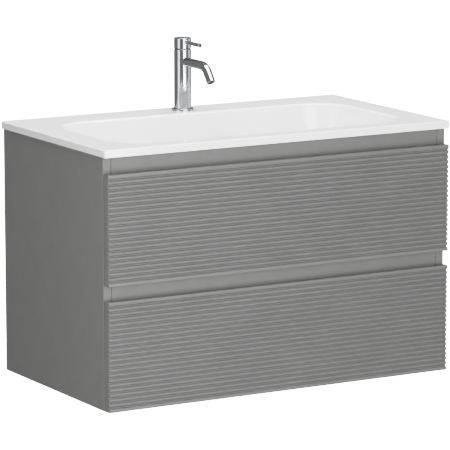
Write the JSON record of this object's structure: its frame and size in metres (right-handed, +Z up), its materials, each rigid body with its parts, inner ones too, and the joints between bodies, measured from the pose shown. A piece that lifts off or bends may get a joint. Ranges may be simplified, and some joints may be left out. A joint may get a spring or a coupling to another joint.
{
  "type": "bathroom vanity cabinet",
  "caption": "Wall-hung bathroom vanity with ribbed pull-out drawers behind handleless grip channels, a slab washbasin with an inset bowl and a single-lever pillar mixer tap.",
  "frame": {"origin": "middle of the bounding box at the lowest level of the carcass", "axes": "+X to the right as a person faces the drawers, +Y towards the wall, +Z up"},
  "size_m": [0.8, 0.46, 0.674],
  "materials": {
    "carcass_board": "matt grey faced board",
    "lacquered_front": "silk-matt grey lacquer on routed fibreboard",
    "drawer_board": "matt grey faced board",
    "glazed_ceramic": "glossy white glaze",
    "chrome": "polished",
    "brass": "turned",
    "zinc_steel": "zinc plated",
    "white_plastic": "moulded",
    "grey_plastic": "moulded",
    "rubber": "soft"
  },
  "bodies": {
    "carcass": {"back_rail_bottom": "carcass_board", "back_rail_top": "carcass_board", "bottom_panel": "carcass_board", "front_buffers": "rubber", "hanger_hooks": "zinc_steel", "hanger_housings": "grey_plastic", "lower_runner_cabinet_left": "zinc_steel", "lower_runner_cabinet_right": "zinc_steel", "middle_front_rail": "carcass_board", "runner_screws": "zinc_steel", "side_panel_left": "carcass_board", "side_panel_right": "carcass_board", "tap_aerator": "grey_plastic", "tap_base_ring": "chrome", "tap_body": "chrome", "tap_cartridge": "grey_plastic", "tap_clamp_washer": "zinc_steel", "tap_fixing_nut": "zinc_steel", "tap_fixing_stud": "zinc_steel", "tap_spout": "chrome", "top_front_rail": "carcass_board", "trap_cap": "white_plastic", "trap_collar_nuts": "white_plastic", "trap_cup": "white_plastic", "trap_inlet_pipe": "white_plastic", "trap_outlet_pipe": "white_plastic", "upper_runner_cabinet_left": "zinc_steel", "upper_runner_cabinet_right": "zinc_steel", "wall_plates": "zinc_steel", "washbasin": "glazed_ceramic", "waste_body": "brass", "waste_flange": "chrome", "waste_nut": "brass", "waste_seals": "rubber"},
    "upper_drawer": {"upper_drawer_backs": "drawer_board", "upper_drawer_bottom": "drawer_board", "upper_drawer_brackets": "zinc_steel", "upper_drawer_cutout_wall": "drawer_board", "upper_drawer_front": "lacquered_front", "upper_drawer_side_left": "drawer_board", "upper_drawer_side_right": "drawer_board", "upper_runner_drawer_left": "zinc_steel", "upper_runner_drawer_right": "zinc_steel"},
    "lower_drawer": {"lower_drawer_back": "drawer_board", "lower_drawer_bottom": "drawer_board", "lower_drawer_brackets": "zinc_steel", "lower_drawer_front": "lacquered_front", "lower_drawer_side_left": "drawer_board", "lower_drawer_side_right": "drawer_board", "lower_runner_drawer_left": "zinc_steel", "lower_runner_drawer_right": "zinc_steel"},
    "upper_runner_middle": {"upper_runner_middle_left": "zinc_steel", "upper_runner_middle_right": "zinc_steel"},
    "lower_runner_middle": {"lower_runner_middle_left": "zinc_steel", "lower_runner_middle_right": "zinc_steel"},
    "mixer_rotor": {"tap_rotor": "grey_plastic"},
    "mixer_handle": {"tap_stem": "brass", "tap_handle_cap": "chrome", "tap_lever": "chrome"},
    "waste_plug": {"waste_plug": "chrome"}
  },
  "joints": [
    {"name": "upper_drawer_slide", "type": "slide", "parent": "carcass", "child": "upper_drawer", "axis": [0, -1, 0], "range_m": [0, 0.38]},
    {"name": "lower_drawer_slide", "type": "slide", "parent": "carcass", "child": "lower_drawer", "axis": [0, -1, 0], "range_m": [0, 0.38]},
    {"name": "upper_runner_slide", "type": "slide", "parent": "carcass", "child": "upper_runner_middle", "axis": [0, -1, 0], "range_m": [0, 0.19]},
    {"name": "lower_runner_slide", "type": "slide", "parent": "carcass", "child": "lower_runner_middle", "axis": [0, -1, 0], "range_m": [0, 0.19]},
    {"name": "mixer_temperature", "type": "hinge", "parent": "carcass", "child": "mixer_rotor", "pos_m": [0, 0.182, 0.632], "axis": [0, 0, 1], "range_deg": [-50, 50]},
    {"name": "mixer_flow", "type": "hinge", "parent": "mixer_rotor", "child": "mixer_handle", "pos_m": [0, 0.182, 0.632], "axis": [-1, 0, 0], "range_deg": [0, 20]},
    {"name": "waste_plug_travel", "type": "slide", "parent": "carcass", "child": "waste_plug", "axis": [0, 0, 1], "range_m": [0, 0.008]}
  ],
  "couplings": [
    {"joint": "upper_runner_slide", "follows": "upper_drawer_slide", "ratio": 0.5},
    {"joint": "lower_runner_slide", "follows": "lower_drawer_slide", "ratio": 0.5}
  ]
}
